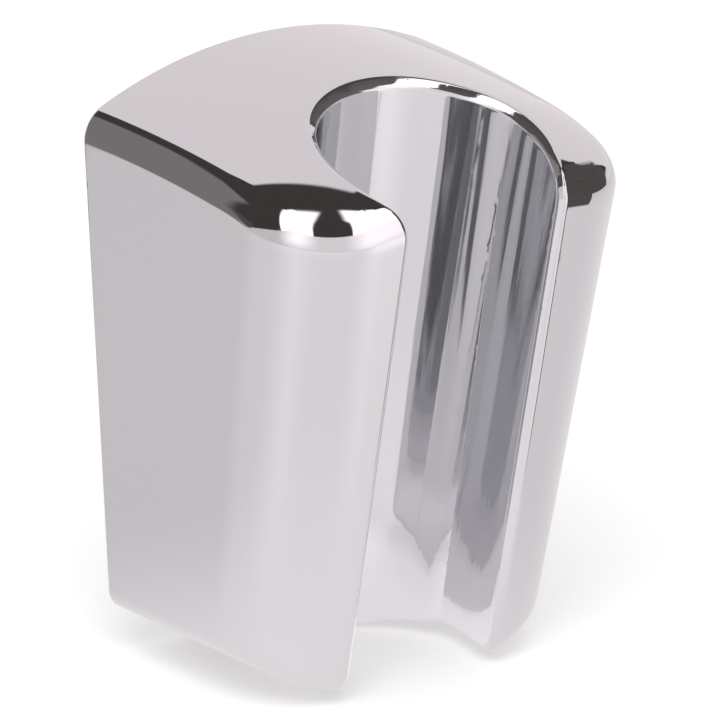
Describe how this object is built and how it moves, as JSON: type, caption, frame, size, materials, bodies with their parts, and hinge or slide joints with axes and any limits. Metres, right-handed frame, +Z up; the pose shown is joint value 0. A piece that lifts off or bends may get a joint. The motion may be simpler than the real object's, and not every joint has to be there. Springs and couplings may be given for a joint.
{
  "type": "hand shower holder",
  "caption": "Wall holder for a hand shower: chrome plated shell with a tapered socket, slotted open at the front for the hose, hung on a hidden screw-on bracket.",
  "frame": {"origin": "on the wall plane, in the middle of the width, half way up the shell", "axes": "+Z up, -Y out of the wall towards the user, +X to the right seen from the front"},
  "size_m": [0.0471, 0.0397, 0.0667],
  "materials": {
    "chrome_shell": "polished plating",
    "bracket_plastic": "moulded, matt",
    "screw_steel": "plain steel"
  },
  "bodies": {
    "root": {"holder_body": "chrome_shell", "wall_bracket": "bracket_plastic", "lock_screw": "screw_steel"}
  },
  "joints": []
}
